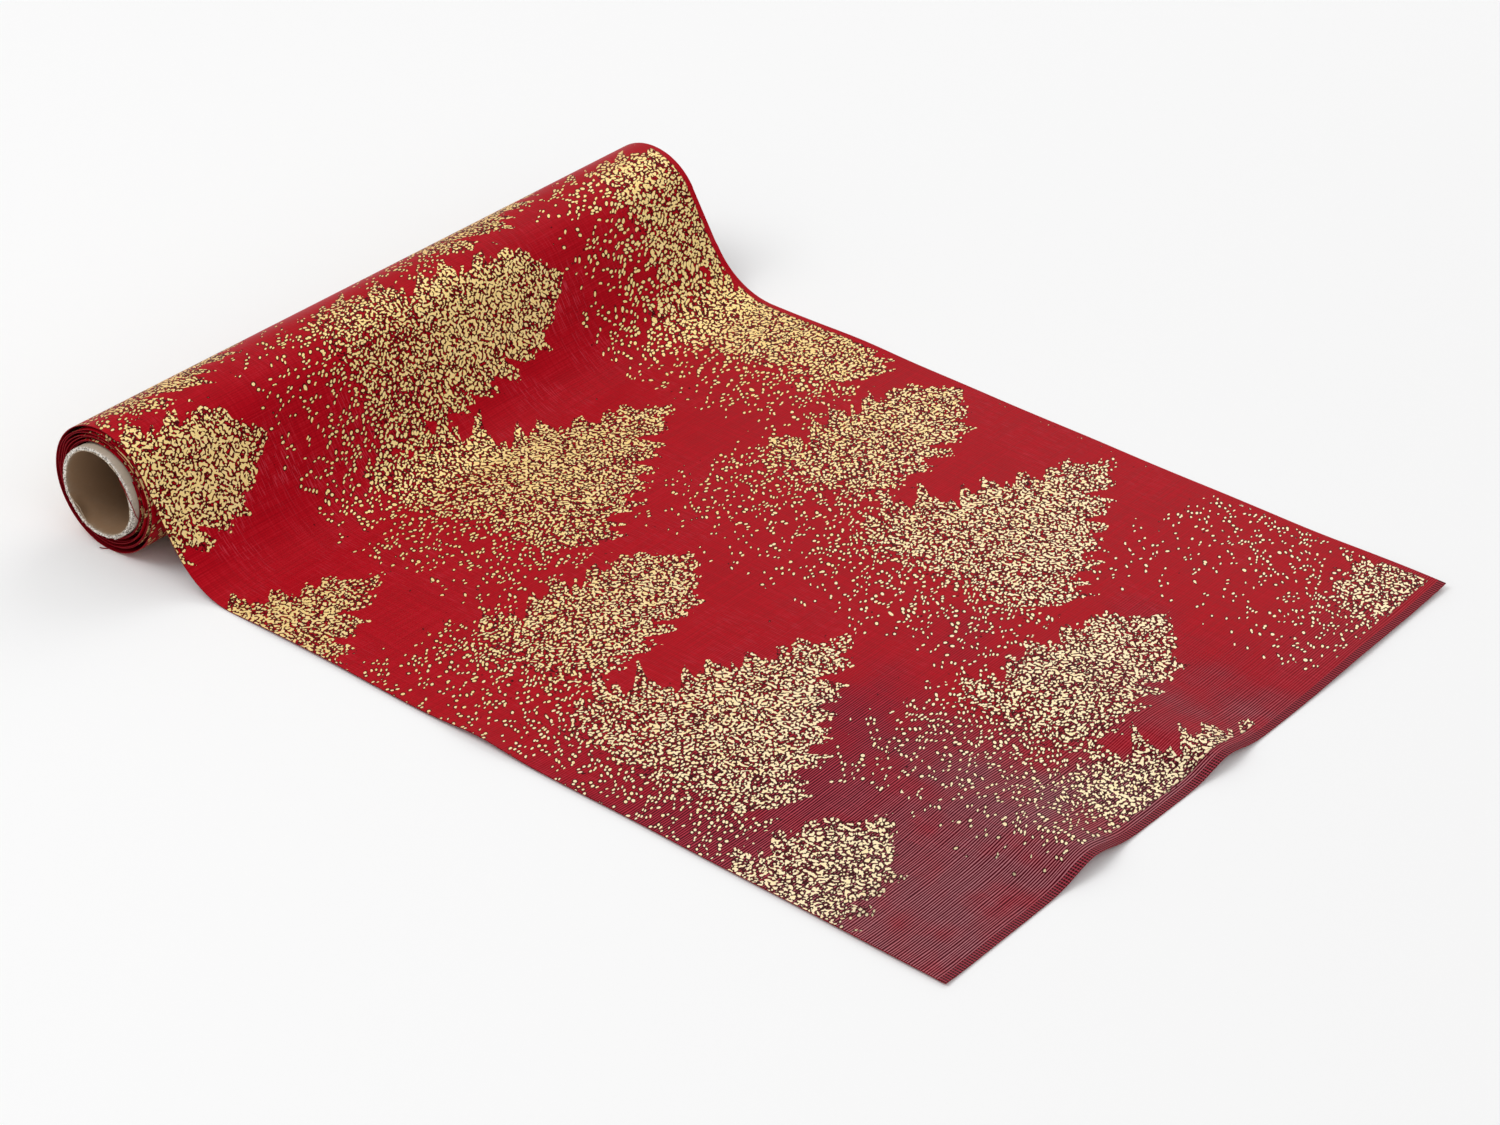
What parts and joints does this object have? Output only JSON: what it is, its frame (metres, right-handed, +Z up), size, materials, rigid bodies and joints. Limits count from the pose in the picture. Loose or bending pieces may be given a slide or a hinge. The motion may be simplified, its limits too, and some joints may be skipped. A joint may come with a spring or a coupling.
{
  "type": "wrapping fabric roll",
  "caption": "Loosely wound roll of red decoration cloth with a gold speckled tree print on a cardboard core, its free end drawn off over the top and laid out flat.",
  "frame": {"origin": "middle of the whole object's footprint, on the surface it lies on", "axes": "+X from the roll to the leading edge of the drawn-off cloth, +Y along the roll's axis, +Z up"},
  "size_m": [0.3702, 0.283, 0.046],
  "materials": {
    "brown_kraft": "smooth uncoated brown kraft with a faint spiral ply seam",
    "grey_board": "rough fibrous core board",
    "pale_paper": "matt pale wrapping ply with a torn, fuzzy edge",
    "clear_tape": "thin double-sided tape",
    "printed_cloth": "ribbed satin sheen with raised gold foil specks",
    "cut_edge_cloth": "ribbed satin with a narrow heat-cut edge band"
  },
  "bodies": {
    "sheet": {"drape": "printed_cloth", "laid_cloth": "printed_cloth"},
    "winding": {"core_liner": "brown_kraft", "core_inner_ply": "grey_board", "core_outer_ply": "grey_board", "core_wrap": "pale_paper", "start_tape": "clear_tape", "wound_cloth": "printed_cloth"},
    "pulled_end": {"free_end": "cut_edge_cloth"}
  },
  "joints": [
    {"name": "roll_turn", "type": "hinge", "parent": "sheet", "child": "winding", "pos_m": [-0.16207, 0, 0.023], "axis": [0, -1, 0], "range_deg": [0, 270]},
    {"name": "free_end_slide", "type": "slide", "parent": "sheet", "child": "pulled_end", "axis": [-1, 0, 0], "range_m": [0, 0.1077], "deforming": ["laid_cloth"]}
  ],
  "couplings": [
    {"joint": "free_end_slide", "follows": "roll_turn", "m_per_rad": 0.02285}
  ]
}
